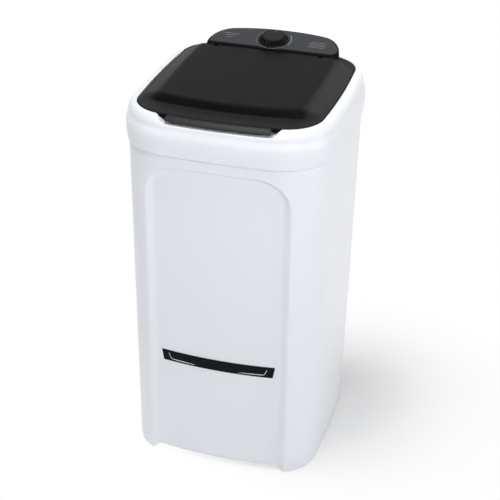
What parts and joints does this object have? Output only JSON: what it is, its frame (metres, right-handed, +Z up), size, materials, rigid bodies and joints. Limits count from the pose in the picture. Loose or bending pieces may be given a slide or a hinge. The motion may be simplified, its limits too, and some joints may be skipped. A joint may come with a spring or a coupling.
{
  "type": "top-loading washing machine",
  "caption": "Tall rounded washing machine with an arched front recess, a hinged dark lid, a low rear dial pod, and a tub with a belt-driven pulsator.",
  "frame": {"origin": "on the floor under the middle of the cabinet", "axes": "+Z up, front towards -Y, +X to the right of a person facing the front"},
  "size_m": [0.4456, 0.4706, 0.867],
  "materials": {
    "white_shell": "moulded, satin gloss",
    "lid_plastic": "moulded, fine matt texture",
    "pod_plastic": "moulded, satin",
    "panel_film": "printed film, satin",
    "knob_plastic": "moulded, gloss",
    "marker_plastic": "moulded, white",
    "strip_plastic": "moulded, gloss black",
    "tub_plastic": "moulded, satin",
    "pulsator_plastic": "moulded, satin gloss",
    "filter_plastic": "moulded",
    "filter_mesh": "woven nylon net",
    "timer_case": "moulded",
    "guard_plastic": "moulded",
    "black_rubber": "moulded rubber",
    "zinc_steel": "zinc plated",
    "bright_steel": "ground",
    "painted_steel": "painted black",
    "cast_metal": "die cast",
    "core_steel": "stacked laminations",
    "enamelled_wire": "varnished copper wire",
    "bearing_bronze": "sintered bronze",
    "capacitor_case": "moulded"
  },
  "bodies": {
    "cabinet": {"cabinet": "white_shell", "top_collar": "white_shell", "rear_deck": "lid_plastic", "control_pod": "pod_plastic", "panel_overlay": "panel_film", "badge_strip": "strip_plastic", "wash_tub": "tub_plastic", "drain_grille": "pulsator_plastic", "drain_spigot": "pulsator_plastic", "timer_body": "timer_case", "base_guard": "guard_plastic", "foot_pads": "black_rubber", "lid_bumpers": "black_rubber", "shaft_seal": "black_rubber", "housing_gasket": "black_rubber", "motor_mounts": "black_rubber", "drain_hose": "black_rubber", "cord_gland": "black_rubber", "drive_belt": "black_rubber", "guard_screws": "zinc_steel", "collar_screws": "zinc_steel", "deck_screws": "zinc_steel", "pod_screws": "zinc_steel", "timer_screws": "zinc_steel", "mount_screws": "zinc_steel", "motor_bolts": "zinc_steel", "motor_nuts": "zinc_steel", "clip_screw": "zinc_steel", "housing_nut": "zinc_steel", "hose_clips": "zinc_steel", "capacitor_clip": "zinc_steel", "motor_plate": "painted_steel", "bearing_housing": "cast_metal", "upper_end_shield": "cast_metal", "lower_end_shield": "cast_metal", "stator_core": "core_steel", "stator_windings": "enamelled_wire", "upper_bush": "bearing_bronze", "lower_bush": "bearing_bronze", "motor_bushes": "bearing_bronze", "run_capacitor": "capacitor_case"},
    "lid": {"lid": "lid_plastic", "lid_hinge_pins": "bright_steel"},
    "timer_dial": {"timer_knob": "knob_plastic", "knob_pointer": "marker_plastic", "timer_shaft": "bright_steel"},
    "pulsator": {"pulsator": "pulsator_plastic", "pulsator_screw": "zinc_steel", "pulsator_cap": "pulsator_plastic", "drive_shaft": "bright_steel", "thrust_washer": "zinc_steel", "driven_pulley": "cast_metal", "pulley_nut": "zinc_steel"},
    "motor_rotor": {"rotor_core": "core_steel", "motor_shaft": "bright_steel", "motor_pulley": "cast_metal"},
    "lint_filter": {"lint_filter_frame": "filter_plastic", "lint_filter_net": "filter_mesh"}
  },
  "joints": [
    {"name": "lid_hinge", "type": "hinge", "parent": "cabinet", "child": "lid", "pos_m": [0, 0.133, 0.832], "axis": [-1, 0, 0], "range_deg": [0, 100]},
    {"name": "timer_turn", "type": "hinge", "parent": "cabinet", "child": "timer_dial", "pos_m": [0, 0.1867, 0.85101], "axis": [0, 0.1977, -0.9803], "range_deg": [0, 300]},
    {"name": "pulsator_spin", "type": "hinge", "parent": "cabinet", "child": "pulsator", "pos_m": [0, 0, 0.336], "axis": [0, 0, 1], "continuous": true},
    {"name": "motor_spin", "type": "hinge", "parent": "cabinet", "child": "motor_rotor", "pos_m": [0, 0.135, 0.11], "axis": [0, 0, 1], "continuous": true},
    {"name": "filter_lift", "type": "slide", "parent": "cabinet", "child": "lint_filter", "axis": [0, 0, 1], "range_m": [0, 0.1]}
  ],
  "couplings": [
    {"joint": "motor_spin", "follows": "pulsator_spin", "ratio": 4.5}
  ]
}
